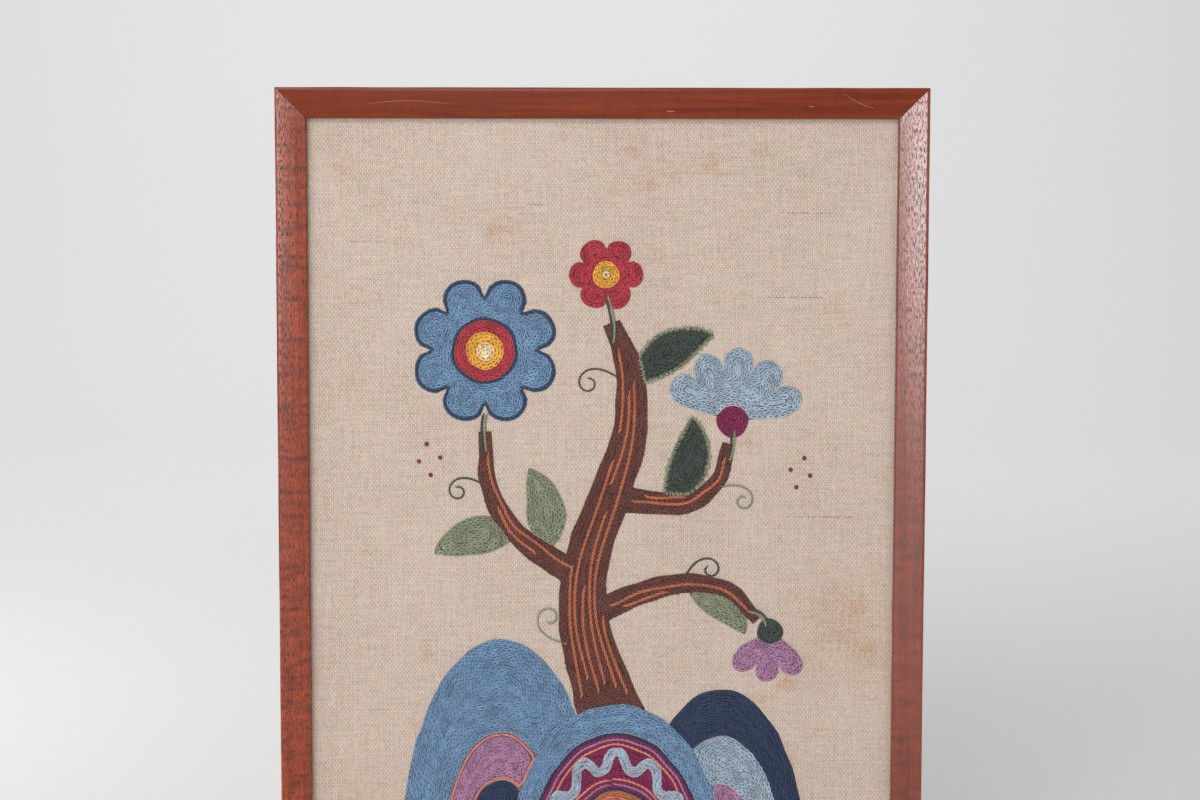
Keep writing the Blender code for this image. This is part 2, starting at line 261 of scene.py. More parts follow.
def linen():
    """Natural linen in plain weave, as if handspun: a dry ribbed cloth, its threads uneven, with age spots.

    The weave is a round of warp or weft at each crossing, whichever lies higher there.
    """
    material, add, shader = new_material(
        "natural linen plain weave", Roughness=0.92, IOR=1.53, Sheen_Weight=0.15, Specular_IOR_Level=0.2
    )
    place = add("TexCoord", output="Object")
    drift = add("TexNoise", {"Vector": place, "Scale": 1 / (14 * MM), "Detail": 1.0}, output=1)
    drift = add("VectorMath", drift, (1.2 * MM,) * 3, place, operation="MULTIPLY_ADD")
    at = add("SeparateXYZ", add("VectorMath", {0: drift, "Scale": 1 / MM}, operation="SCALE")).node.outputs
    # A sine wave changes sign from each thread to the next, and its size is the thread's round.
    waves, rounds = [], []
    for position, pitch in ((at[0], size("warp_pitch")), (at[2], size("weft_pitch"))):
        turn = add("Math", position, math.pi / pitch, operation="MULTIPLY")
        waves.append(add("Math", turn, operation="SINE"))
        rounds.append(add("Math", waves[-1], operation="ABSOLUTE"))
    warp_over = add("MapRange", add("Math", *waves, operation="MULTIPLY"), -0.6, 0.6, 0.0, 1.0)
    weft_over = add("Math", warp_over, -WEFT_LEVEL, WEFT_LEVEL, operation="MULTIPLY_ADD")
    warp = add("Math", rounds[0], warp_over, operation="MULTIPLY")
    weft = add("Math", rounds[1], weft_over, operation="MULTIPLY")
    flecks = add("TexNoise", {"Vector": place, "Scale": 1 / (1.5 * MM), "Detail": 1.0})
    flecks = add("MapRange", flecks, 0.35, 0.65, 0.62, 1.14)
    weave = add("Math", add("Math", warp, weft, operation="MAXIMUM"), flecks, operation="MULTIPLY")
    # Thick and thin stretches follow the threads, so one noise is drawn out along each set.
    threads = 0.0
    for wide, tall in ((22, 1.1), (0.9, 26)):
        stretched = add("VectorMath", place, (1 / (wide * MM), 0, 1 / (tall * MM)), operation="MULTIPLY")
        stretches = add("TexNoise", {"Vector": stretched, "Scale": 1.0, "Detail": 2.0})
        threads = add("Math", threads, stretches, operation="ADD")
    threads = add("MapRange", threads, 0.7, 1.3, -0.17, 0.17, clamp=False)
    clouds = add("TexNoise", {"Vector": place, "Scale": 1 / (60 * MM), "Detail": 3.0})
    clouds = add("MapRange", clouds, 0.3, 0.7, -0.06, 0.10, clamp=False)
    # The weave's height also sets the colour: painted light on each thread's crown and painted shade in the
    # hollows between threads.
    tone = add("Math", weave, 1.25, threads, operation="MULTIPLY_ADD")
    tone = add("Math", tone, clouds, operation="ADD", use_clamp=True)
    blots = add("TexNoise", {"Vector": place, "Scale": 1 / (1.6 * MM), "Detail": 3.0})
    blots = add("MapRange", blots, 0.35, 0.65, 0.2, 1.0)
    stain = add("Attribute", output="Fac", attribute_name="foxing")
    stain = add("Math", stain, blots, operation="MULTIPLY")
    cloth = {0: tone, 6: colour("linen_dark"), 7: colour("linen_light")}
    cloth = add("Mix", cloth, output=2, data_type="RGBA")
    cloth = {0: stain, 6: cloth, 7: colour("foxing")}
    cloth = add("Mix", cloth, output=2, data_type="RGBA", blend_type="MULTIPLY")
    # The fibres differ a little in hue, and painted shade greys the cloth beside the uprights, most on the
    # left: the shadow of the frame's lip.
    hue = add("TexNoise", {"Vector": place, "Scale": 1 / (1.3 * MM), "Detail": 2.0}, output=1)
    hue = add("VectorMath", hue, (0.42,) * 3, (0.79,) * 3, operation="MULTIPLY_ADD")
    cloth = add("VectorMath", cloth, hue, operation="MULTIPLY")
    sideways = add("SeparateXYZ", place)
    for turned, deepest_shade in ((1.0, 0.74), (-1.0, 0.88)):
        from_wood = add("Math", sideways, turned, SIGHT_WIDTH / 2 * MM, operation="MULTIPLY_ADD")
        edge_shade = add("MapRange", from_wood, 0.0, 4.5 * MM, deepest_shade, 1.0, interpolation_type="SMOOTHSTEP")
        cloth = add("VectorMath", {0: cloth, "Scale": edge_shade}, operation="SCALE")
    relief = add("Math", threads, 0.6, weave, operation="MULTIPLY_ADD")
    bump = add("Bump", {"Height": relief, "Distance": 0.25 * MM, "Strength": 0.7})
    feed(shader, Base_Color=cloth, Normal=bump)
    return material


def hardwood(side, shine):
    """Oiled tropical hardwood, planed and hand-finished: red-brown, satin, with short dark pores.

    The shine is the specular level: the upright members keep their wax, the top one is nearly dry.
    """
    title = "oiled red-brown hardwood " + side
    material, add, shader = new_material(title, IOR=1.5, Specular_IOR_Level=shine)
    uv = add("UVMap", uv_map="grain")
    patterns = []
    for along, across, detail, distortion in (
        (90, 3.2, 3.0, 0.6),  # streaks, in millimetres along the grain and across it
        (14, 0.5, 2.0, 0.0),  # fine grain
        (3.0, 0.42, 2.0, 0.25),  # pores, a little wider than the real 0.3 mm
        (4.2, 15, 3.0, 0.0),  # darker bands that lie across the grain
    ):
        at = add("VectorMath", uv, (1 / along, 1 / across, 1), operation="MULTIPLY")
        pattern = {"Vector": at, "Scale": 1.0, "Detail": detail, "Distortion": distortion}
        patterns.append(add("TexNoise", pattern))
    streaks, fine, pores, bands = patterns
    amount = add("Attribute", output="Fac", attribute_name="pores")
    pores = add("Math", add("MapRange", pores, 0.51, 0.60, 0.0, 1.0), amount, operation="MULTIPLY")
    bands = add("Math", add("MapRange", bands, 0.44, 0.68, 0.0, 0.56), amount, operation="MULTIPLY")
    tone = add("Math", fine, 0.45, streaks, operation="MULTIPLY_ADD")
    tone = add("MapRange", tone, 0.3, 1.15, 0.0, 1.0)
    # Pale outer edges: wear, and partly a painted highlight of the rounded edge.
    worn = add("Attribute", output="Fac", attribute_name="worn")
    open_pores = add("Math", pores, 0.85, operation="MULTIPLY")
    timber = colour("wood_dark")
    for share, name in ((tone, "light"), (bands, "pore"), (worn, "worn"), (open_pores, "pore")):
        layers = {0: share, 6: timber, 7: colour("wood_" + name)}
        timber = add("Mix", layers, output=2, data_type="RGBA")
    # The member's tone is painted light and shade, one value for the whole member.
    member_painted_light = add("Attribute", output="Fac", attribute_name="shade")
    timber = add("VectorMath", {0: timber, "Scale": member_painted_light}, operation="SCALE")
    rough = add("Math", pores, 0.34, 0.24, operation="MULTIPLY_ADD")
    relief = add("Math", pores, -1.0, fine, operation="MULTIPLY_ADD")
    bump = add("Bump", {"Height": relief, "Distance": 0.05 * MM, "Strength": 0.2})
    feed(shader, Base_Color=timber, Roughness=rough, Normal=bump)
    return material


def scuffed_wood():
    """Hardwood that has lost its oil to a scratch: pale, dull and dry."""
    return new_material("scuffed dry wood", Roughness=0.75, IOR=1.5, Base_Color=colour("wood_scuffed"))[0]


def studio_paper():
    """Matt background paper on the floor and the wall behind: no shine, no grain at this distance."""
    paper = (*linear("#EDEDED"), 1)
    return new_material("matt background paper", Roughness=1.0, Specular_IOR_Level=0.0, Base_Color=paper)[0]


# Meshes

Shell = namedtuple("Shell", "points corners sides uv material shade")


def joined(shells):
    """Several shells as one: a shell's corners count its own points, so each is moved past those before."""
    starts = np.cumsum([0] + [len(shell.points) for shell in shells[:-1]])
    return Shell(
        np.concatenate([shell.points for shell in shells]),
        np.concatenate([shell.corners + start for shell, start in zip(shells, starts)]),
        *[np.concatenate([getattr(shell, field) for shell in shells]) for field in Shell._fields[2:]],
    )


def new_mesh(name, points, corners, sides, materials):
    """A smooth mesh object: corners holds the faces' points in turn, sides how many each face has."""
    mesh = bpy.data.meshes.new(name)
    mesh.vertices.add(len(points))
    mesh.vertices.foreach_set("co", (np.asarray(points) * MM).astype(np.float32).ravel())
    mesh.loops.add(len(corners))
    mesh.loops.foreach_set("vertex_index", np.asarray(corners, np.int32))
    mesh.polygons.add(len(sides))
    starts = np.concatenate([[0], np.cumsum(sides)[:-1]]).astype(np.int32)
    mesh.polygons.foreach_set("loop_start", starts)
    mesh.polygons.foreach_set("use_smooth", np.ones(len(sides), bool))
    mesh.update(calc_edges=True)
    for material in materials:
        mesh.materials.append(material)
    piece = bpy.data.objects.new(name, mesh)
    bpy.context.scene.collection.objects.link(piece)
    return piece


def grid(rows, columns, closed_rows=False, closed_columns=False):
    """Faces of a grid of points numbered row by row: a point, the next in its row, and both one row on.

    Closed rows or columns also join the last one to the first.
    """
    row, column = np.meshgrid(
        np.arange(rows - 1 + closed_rows), np.arange(columns - 1 + closed_columns), indexing="ij"
    )
    here, after = row * columns, (row + 1) % rows * columns
    beside = (column + 1) % columns
    return np.stack([here + column, here + beside, after + beside, after + column], axis=-1).reshape(-1, 4)


def set_values(piece, name, values):
    """Gives the piece's points an attribute, from one value for all or one for each."""
    values = np.broadcast_to(values, len(piece.data.vertices)).astype(np.float32)
    piece.data.attributes.new(name, "FLOAT", "POINT").data.foreach_set("value", values)


def set_uv(piece, name, uv):
    piece.data.uv_layers.new(name=name).uv.foreach_set("vector", uv.astype(np.float32).ravel())


def fasten(piece, slot, *nodes):
    """The piece rides on the part and stands for the solids. The slot is not used."""
    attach(piece, "root")
    if nodes:
        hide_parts(*nodes)
    return piece


def yarn_piece(name, shells, materials, slot, *nodes):
    """One mesh object of yarn shells, whose material numbers count through the materials."""
    shell = joined(shells)
    piece = new_mesh(name, shell.points, shell.corners, shell.sides, materials)
    piece.data.polygons.foreach_set("material_index", shell.material.astype(np.int32))
    set_values(piece, "shade", shell.shade)
    set_uv(piece, "yarn", shell.uv)
    return fasten(piece, slot, *nodes)


# Cloth surface


SAG = 0.35  # where the cloth lies deepest


def cloth_sag(x, z):
    """How far the cloth lies behind its front plane: slow waves of hand-stretched linen, nil at the lip."""
    across = np.clip(1 - (2 * x / SIGHT_WIDTH) ** 2, 0, 1)
    up = np.clip(1 - (2 * z / OUTER_HEIGHT - 1) ** 2, 0, 1)
    wave = 0.5 + 0.25 * np.sin(x / 31 + z / 90) + 0.25 * np.sin(z / 43 - x / 120 + 1.0)
    return SAG * wave * np.minimum(1, 3 * across * up)


def in_sight(x, height):
    """Points of the cloth given by their height above the sight's lower edge."""
    return np.stack([np.asarray(x, float), np.asarray(height, float) + MOULDING_WIDTH], axis=-1)


def on_cloth(flat, height):
    """Points of the cloth (x, z) at a height above it, as x, y, z."""
    x, z = flat[..., 0], flat[..., 1]
    return np.stack([x, CLOTH_Y + cloth_sag(x, z) - height, z], axis=-1)


# Outlines and rows


def front_of(name):
    """A pad's front in millimetres: points, triangles, and the rim's edges with the pad on their left."""
    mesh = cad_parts[name].data
    points = np.empty(len(mesh.vertices) * 3)
    mesh.vertices.foreach_get("co", points)
    points = points.reshape(-1, 3) / MM
    corners = np.array([polygon.vertices[:] for polygon in mesh.polygons])
    a, b, c = (points[corners[:, k]] for k in range(3))
    facing = np.cross(b - a, c - a)
    front = facing[:, 1] < -0.9 * np.linalg.norm(facing, axis=1)
    flat, index = np.unique(np.round(points[:, [0, 2]], 2), axis=0, return_inverse=True)
    triangles = index.reshape(-1)[corners[front]]
    used, triangles = np.unique(triangles, return_inverse=True)
    flat, triangles = flat[used], triangles.reshape(-1, 3)
    triangles = triangles[(triangles != np.roll(triangles, 1, axis=1)).all(axis=1)]
    edges = np.concatenate([triangles[:, [0, 1]], triangles[:, [1, 2]], triangles[:, [2, 0]]])
    there = edges[:, 0] * len(flat) + edges[:, 1]
    back = edges[:, 1] * len(flat) + edges[:, 0]
    return flat, triangles, edges[~np.isin(there, back)]


def outline_loops(name):
    """The closed outlines of a pad's front, each with the pad on its left."""
    flat, _, edges = front_of(name)
    following = dict(edges.tolist())
    loops = []
    while following:
        first, at = following.popitem()
        loop = [first]
        while at != first:
            loop.append(at)
            at = following.pop(at)
        loops.append(flat[loop])
    return loops


def unit(vectors):
    """The vectors at length one."""
    return vectors / np.linalg.norm(vectors, axis=-1, keepdims=True)


def right_of(along):
    """The directions square to the given ones, on their right."""
    return np.stack([along[..., 1], -along[..., 0]], axis=-1)


def run_along(line):
    """How far along a line of points each of them lies."""
    return np.append(0, np.cumsum(np.linalg.norm(np.diff(line, axis=0), axis=1)))


def read_at(line, run, at):
    """The line's points at other places along its run."""
    return np.stack([np.interp(at, run, column) for column in line.T], axis=1)


def closed_up(line):
    """The line with its first point again at its end."""
    return np.vstack([line, line[:1]])


def resampled(line, count, closed=False):
    """A line of points read at even steps along its length."""
    if closed:
        line = closed_up(line)
    run = run_along(line)
    return read_at(line, run, np.linspace(0, run[-1], count, endpoint=not closed))


def line_length(line):
    return np.linalg.norm(np.diff(line, axis=0), axis=1).sum()


def curve(start, handle, end, count):
    """A quadratic curve from the start to the end, drawn towards the handle."""
    t = np.linspace(0, 1, count)[:, None]
    return (1 - t) ** 2 * start + 2 * t * (1 - t) * handle + t**2 * end


def smoothed(line, passes=2):
    """The line with each inner point moved to the mean of itself and its neighbours."""
    line = line.copy()
    for _ in range(passes):
        line[1:-1] = (line[:-2] + line[1:-1] + line[2:]) / 3
    return line


def distance_to_edges(points, starts, ends):
    """The distance from each point to the nearest of the straight edges."""
    along = ends - starts
    apart = points[..., None, :] - starts
    share = np.clip((apart * along).sum(-1) / (along**2).sum(-1), 0, 1)
    return np.linalg.norm(apart - share[..., None] * along, axis=-1).min(-1)


SAMPLE = 0.6  # between two points that trace an outline
DEPTH_STEP = 0.25  # between two depths tried on the way in
ROW_JOIN = 1.5  # rows whose ends are nearer than this run on
FIRST_ROW = 0.25  # how far in the first row lies, as a share of the spacing
SHALLOWEST = 0.35  # how far in a middle line lies at least, as a share of the spacing
RAY_SLACK = 0.08  # how much nearer another place may be before a ray ends
REACH = 16.0  # the depth at which a fan's rays are one sample apart


def spread_out(counts):
    """For counts of items in groups: each item's group, and its even share of the way through the group."""
    group = np.repeat(np.arange(len(counts)), counts)
    place = np.arange(counts.sum()) - np.repeat(np.cumsum(counts) - counts, counts)
    return group, (place + 0.5) / counts[group]


def stations(loop):
    """Points along an outline, each with its unit direction inwards; a hollow corner holds a fan."""
    edge = np.roll(loop, -1, axis=0) - loop
    heading = np.arctan2(edge[:, 1], edge[:, 0])
    turn = (heading - np.roll(heading, 1) + math.pi) % TAU - math.pi
    side, on_side = spread_out(np.ceil(np.linalg.norm(edge, axis=1) / SAMPLE).astype(int))
    corner, in_fan = spread_out(np.where(turn < -0.001, np.ceil(-turn * REACH / SAMPLE), 0).astype(int))
    points = np.concatenate([loop[corner], loop[side] + on_side[:, None] * edge[side]])
    facing = np.concatenate([heading[corner] - (1 - in_fan) * turn[corner], heading[side]]) + math.pi / 2
    order = np.argsort(np.concatenate([corner + 0.4 * in_fan, side + 0.5 + 0.4 * on_side]), kind="stable")
    return points[order], np.stack([np.cos(facing), np.sin(facing)], axis=1)[order]


def inward_rays(loops):
    """For each outline its stations, and how far in each is nearer to its own place than to any other."""
    starts = np.concatenate(loops)
    ends = np.concatenate([np.roll(loop, -1, axis=0) for loop in loops])
    widest = np.ptp(starts, axis=0).max() / 2
    rays = []
    for loop in loops:
        points, inward = stations(loop)
        depth = np.zeros(len(points))
        going = np.ones(len(points), bool)
        for tried in np.arange(DEPTH_STEP, widest, DEPTH_STEP):
            reach = distance_to_edges(points[going] + tried * inward[going], starts, ends)
            going[going] = reach > tried - RAY_SLACK
            depth[going] = tried
            if not going.any():
                break
        rays.append((points, inward, depth))
    return rays


def wander(flat):
    """The slow drift of rows worked by eye: crossed sine waves, 18 to 31 mm long, up to 0.6 mm each way."""
    x, z = flat[..., 0], flat[..., 1]
    aside = np.sin(z / 2.9 + 0.08 * x) + np.sin(x / 4.3 - z / 3.7 + 1.9)
    up = np.sin(x / 3.1 - 0.06 * z + 0.7) + np.sin(z / 4.9 + x / 3.3 + 2.6)
    return 0.3 * np.stack([aside, up], axis=-1)


def split_rows(points, kept, closed_if_whole=True):
    """The kept points of a closed line as separate rows, cut where neighbours lie apart."""
    kept = np.flatnonzero(kept)
    if len(kept) < 3:
        return []
    jump = np.linalg.norm(points[np.roll(kept, -1)] - points[kept], axis=1)
    breaks = np.flatnonzero(jump > ROW_JOIN)
    if not len(breaks):
        return [points[np.append(kept, kept[0])]] if closed_if_whole else [points[kept]]
    kept = np.roll(kept, -(breaks[0] + 1))
    cuts = np.sort((breaks - breaks[0] - 1) % len(kept)) + 1
    return [points[part] for part in np.split(kept, cuts[:-1]) if len(part) > 2]


def filling_rows(loops, spacing):
    """Rows that follow the outlines inwards, one spacing apart, and last the middle lines.

    Returns (row number, points); the middle lines have the number None.
    """
    rays = inward_rays(loops)
    deepest = max(depth.max() for _, _, depth in rays)
    rows = []
    for number in range(int(deepest / spacing + 0.5) + 1):
        level = (number + FIRST_ROW) * spacing
        for points, inward, depth in rays:
            there = split_rows(points + level * inward, depth >= level - 0.1)
            rows += [(number, smoothed(row)) for row in there]
    for points, inward, depth in rays:
        middle = points + depth[:, None] * inward
        there = split_rows(middle, depth > SHALLOWEST * spacing, False)
        rows += [(None, smoothed(row, 4)) for row in there]
    return rows


SHORTEST = 0.45  # the shortest row that gets a stitch, as a share of the stitch
UNEVEN = 0.14  # how far a stitch ends from its even place along the row, at most, as a share of the stitch
SLIP = 0.15  # standard deviation of an end from its place


def stitch_ends(row, pitch, rng):
    """Starts and ends of the stitches along a row, their lengths a little uneven."""
    length = line_length(row)
    if length < SHORTEST * pitch:
        return np.empty((0, 2)), np.empty((0, 2))
    count = max(1, round(length / pitch))
    at = np.linspace(0, length, count + 1)
    at[1:-1] += rng.uniform(-UNEVEN, UNEVEN, max(0, count - 1)) * pitch
    marks = read_at(row, run_along(row), at)
    marks[1:-1] += rng.normal(0, SLIP, marks[1:-1].shape)
    return marks[:-1], marks[1:]


class Ground:
    """Remembers where stitches lie, so that no row is worked on top of another."""

    def __init__(self):
        self.taken = np.empty((0, 2))

    def free(self, starts, ends, room):
        """Which stitches have no other centre within the room; those are then taken."""
        centres = (starts + ends) / 2
        clear = np.ones(len(centres), bool)
        if len(self.taken) and len(centres):
            clear = np.linalg.norm(centres[:, None] - self.taken, axis=-1).min(1) > room
        self.taken = np.vstack([self.taken, centres[clear]])
        return clear


# Yarn


def yarns(lines, half_wide, half_high, sides, closed=False, shade=1.0, material=0):
    """Lengths of yarn: an oval carried along each line of points.

    lines has the shape (yarn, point, xyz). At each point the oval's wide axis is square to the line
    and in the cloth's plane, and its high axis is square to both.
    """
    count, steps, _ = lines.shape
    if closed:
        along = np.roll(lines, -1, axis=1) - np.roll(lines, 1, axis=1)
    else:
        along = np.gradient(lines, axis=1)
    along = unit(along)
    across = unit(np.cross(along, [0.0, -1.0, 0.0]))
    out = np.cross(across, along)
    turn = TAU * (np.arange(sides) + 0.5) / sides
    wide = np.broadcast_to(half_wide, (count, steps))[..., None, None]
    high = np.broadcast_to(half_high, (count, steps))[..., None, None]
    ring = lines[:, :, None] + wide * across[:, :, None] * np.cos(turn)[:, None]
    ring = ring + high * out[:, :, None] * np.sin(turn)[:, None]
    quads = grid(steps, sides, closed, True)[:, [0, 3, 2, 1]]
    run = np.linalg.norm(np.diff(lines, axis=1, append=lines[:, :1]), axis=-1)
    run = np.concatenate([np.zeros((count, 1)), np.cumsum(run, axis=1)], axis=1)
    step, side = np.divmod(quads[:, 0], sides)
    left, right = run[:, step], run[:, step + 1]
    low, top = (np.broadcast_to(turned / sides, left.shape) for turned in (side, side + 1))
    pairs = ((left, low), (right, low), (right, top), (left, top))
    uv = np.stack([np.stack(pair, -1) for pair in pairs], axis=2)
    if not closed:
        ends = np.array([[0, k, k + 1, k + 2] for k in range(1, sides - 2, 2)])
        last = (steps - 1) * sides
        quads = np.concatenate([quads, ends, last + ends[:, ::-1]])
        uv = np.concatenate([uv, np.zeros((count, 2 * len(ends), 4, 2))], axis=1)
    faces = quads + (np.arange(count) * steps * sides)[:, None, None]
    return Shell(
        ring.reshape(-1, 3),
        faces.ravel(),
        np.full(count * len(quads), 4),
        uv.reshape(-1, 2),
        np.full(count * len(quads), material),
        np.repeat(np.broadcast_to(shade, count), steps * sides),
    )


def lifted(shell, lift):
    """The shell, moved out of the cloth."""
    shell.points[:, 1] -= lift
    return shell


def shades(rng, count, middle=1.0, spread=0.07):
    """Tones for a number of stitches, normally spread, without the far ends."""
    return np.clip(rng.normal(middle, spread, count), middle - 2.2 * spread, middle + 2.2 * spread)


def placed(starts, ends, along, across, height):
    """Points given as (yarn, point) arrays, along and across each stitch, put on the cloth."""
    ahead = unit(ends - starts)[:, None]
    flat = starts[:, None] + along[..., None] * ahead + across[..., None] * right_of(ahead)
    return on_cloth(flat, height)


CHAIN_STEPS = 10
CHAIN_TUCK = 0.27  # how far back a loop starts inside the one before, as a share of the stitch
LOOP_PEAK = 0.77  # the largest value of the loop's width formula
LOOP_HEIGHT = 0.38  # of the yarn's middle above the cloth
LOOP_CLIMB = 0.42  # how much higher it runs over the end of the loop before
LOOP_DIP = 0.25  # how much lower it runs at its start
YARN_FLATNESS = 0.42  # half the yarn's height, as a share of its width


def chain_loops(starts, ends, rng, width, shade=1.0, material=0):
    """Chain stitches: closed loops, pointed where they start and round where they end.

    Round a loop, the distance along is half of one minus the cosine of the turn, and the distance
    aside is the sine of the turn times the sine of half of it. The start dips into the cloth and
    then climbs over the end of the loop before.
    """
    turn = TAU * (np.arange(CHAIN_STEPS) + 0.5) / CHAIN_STEPS
    share = (1 - np.cos(turn)) / 2
    bulge = np.sin(turn) * np.sin(turn / 2) / LOOP_PEAK
    length = np.linalg.norm(ends - starts, axis=1)[:, None]
    yarn = size("yarn_width")
    along = length * (share * (1 + CHAIN_TUCK) - CHAIN_TUCK)
    half = (width - yarn) / 2 * rng.uniform(0.88, 1.1, (len(starts), 1))
    across = half * bulge + rng.normal(0, 0.04, (len(starts), 1))
    over = np.exp(-(((share - 0.24) / 0.15) ** 2))
    dip = np.exp(-((share / 0.08) ** 2))
    height = LOOP_HEIGHT + LOOP_CLIMB * over - LOOP_DIP * dip + rng.uniform(0, 0.08, (len(starts), 1))
    lines = placed(starts, ends, along, across, height)
    tones = shades(rng, len(starts), shade, 0.11)
    return yarns(lines, yarn / 2, YARN_FLATNESS * yarn, 5, True, tones, material)


def straight_stitches(starts, ends, rng, rise=0.62, half_wide=None, shade=1.0, material=0, points=5):
    """Single straight stitches that arch out of the cloth and back into it."""
    share = np.linspace(0, 1, points)
    length = np.linalg.norm(ends - starts, axis=1)[:, None]
    along = length * share
    arch = np.sin(math.pi * np.clip(share, 0.03, 0.97)) ** 0.6
    height = 0.02 + rise * arch + rng.uniform(0, 0.05, (len(starts), 1))
    lines = placed(starts, ends, along, np.zeros_like(along), height)
    half = size("yarn_width") / 2 if half_wide is None else half_wide
    taper = 0.75 + 0.25 * np.sin(math.pi * share) ** 0.5
    tones = shades(rng, len(starts), shade)
    return yarns(lines, half * taper, 0.85 * half * taper, 4, False, tones, material)


STEM_REACH = 0.8  # how far a stem stitch runs beside the one before, as a share of the step


def stem_stitches(line, rng, width=1.5, material=0, pitch=None):
    """A rope-like line: each stitch slants across the line and lies beside half of the one before."""
    pitch = pitch or size("stem_length")
    count = max(2, round(line_length(line) / pitch) + 1)
    marks = resampled(line, count)
    along = unit(np.gradient(marks, axis=0))
    aside = right_of(along)
    slant = (width - size("yarn_width")) / 2
    reach = np.minimum(1, np.arange(count - 1))[:, None] * STEM_REACH
    starts = marks[:-1] - reach * pitch * along[:-1] - slant * aside[:-1]
    ends = marks[1:] + slant * aside[1:]
    return straight_stitches(starts, ends, rng, material=material, points=4)


UNDERLAY_HEIGHT = 0.2
UNDERLAY_SINK = 0.1  # how far its underside lies inside the cloth
# painted shade: the underlay's tone, as dark as the shadow between the stitches
UNDERLAY_PAINTED_SHADE = 0.45
UNDERLAY_REACH = 0.5  # how far the underlay goes past the pad's outline
EDGE_WANDER = 0.7  # how much of the rows' drift the outline has


def outwards(flat, rim):
    """The direction out of a pad at each point of its rim, and nil at the points inside."""
    aside = right_of(unit(flat[rim[:, 1]] - flat[rim[:, 0]]))
    total = np.zeros_like(flat)
    for end in rim.T:
        np.add.at(total, end, aside)
    return total / np.maximum(np.linalg.norm(total, axis=1), 1e-6)[:, None]


def shade_underlay(name, material=0):
    """A dark underlay under a field of stitches, the field's own shape: painted shade, as dark as the
    shadow between the stitches.

    Its top is the pad's front a little above the cloth, its underside the same a little inside it, and
    a wall joins the two all round the rim.
    """
    flat, triangles, rim = front_of(name)
    flat = flat + UNDERLAY_REACH * outwards(flat, rim)
    flat = flat + EDGE_WANDER * wander(flat)
    top = on_cloth(flat, UNDERLAY_HEIGHT)
    count = len(flat)
    wall = np.stack([rim[:, 1], rim[:, 0], rim[:, 0] + count, rim[:, 1] + count], axis=1)
    corners = np.concatenate([triangles.ravel(), triangles[:, ::-1].ravel() + count, wall.ravel()])
    sides = np.concatenate([np.full(2 * len(triangles), 3), np.full(len(wall), 4)])
    points = np.concatenate([top, top + [0, UNDERLAY_HEIGHT + UNDERLAY_SINK, 0]])
    uv = np.zeros((len(corners), 2))
    tones = np.full(len(points), UNDERLAY_PAINTED_SHADE)
    return Shell(points, corners, sides, uv, np.full(len(sides), material), tones)


def reverse_stitches(starts, ends, rng, material=0):
    """What the cloth's back shows of a row: one short straight stitch under each loop."""
    share = np.linspace(0.05, 0.95, 3)
    flat = starts[:, None] + share[:, None] * (ends - starts)[:, None]
    behind = -(size("linen_thickness") + 0.28 * np.sin(math.pi * share))
    return yarns(on_cloth(flat, behind), 0.42, 0.26, 4, False, shades(rng, len(starts), 0.9), material)


KNOT_COILS = ((0.78, 0.42), (0.33, 0.95))  # radius and height


def knots(centres, rng, material=0):
    """French knots: one coil of yarn on the cloth and a smaller one on top of it."""
    turn = TAU * np.arange(8) / 8
    shells = []
    for radius, height in KNOT_COILS:
        ring = np.stack([np.cos(turn), np.sin(turn)], axis=1) * radius
        flat = centres[:, None] + ring
        lift = height + 0.1 * np.sin(turn + 1) + rng.uniform(-0.04, 0.04, (len(centres), 1))
        shells.append(yarns(on_cloth(flat, lift), 0.5, 0.46, 5, True, shades(rng, len(centres)), material))
    return joined(shells)


# Fillings

# A filling's lines are the rows worked in another wool, by their number from the outline.
Filling = namedtuple("Filling", "node wool stitch lines", defaults=("chain", {}))
FILLINGS = {
    "mounds": [
        Filling("mound_front_outer", "blue"),
        Filling("mound_front_band", "wine", "stem", {0: "navy", 2: "mauve", 4: "salmon"}),
        Filling("mound_front_core", "terracotta", "chain", {1: "salmon"}),
        Filling("mound_left_outer", "blue"),
        Filling("mound_left_band", "mauve", "chain", {0: "salmon"}),
        Filling("mound_left_core", "navy", "stem"),
        Filling("mound_right_outer", "navy", "stem"),
        Filling("mound_right_band", "light_blue"),
        Filling("mound_right_core", "mauve"),
    ],
    "tree": [
        Filling("trunk", "brown"),
    ],
    "flowers": [
        Filling("rosette_petals", "blue", "chain", {0: "navy"}),
        Filling("rosette_ring", "crimson"),
        Filling("rosette_mid", "yellow"),
        Filling("rosette_core", "cream"),
        Filling("blossom_petals", "crimson"),
        Filling("blossom_core", "yellow", "chain", {2: "cream"}),
        Filling("fan_petals", "light_blue"),
        Filling("fan_heart", "wine"),
        Filling("bell_petals", "mauve"),
        Filling("bell_cap", "dark_green", "stem"),
    ],
    "leaves": [
        Filling("leaf_dark_top", "dark_green"),
        Filling("leaf_dark_right", "dark_green"),
        Filling("leaf_sage_upper", "sage"),
        Filling("leaf_sage_outer", "sage"),
        Filling("leaf_sage_low", "sage"),
    ],
}
FRINGED = ("leaf_dark_top", "leaf_dark_right")


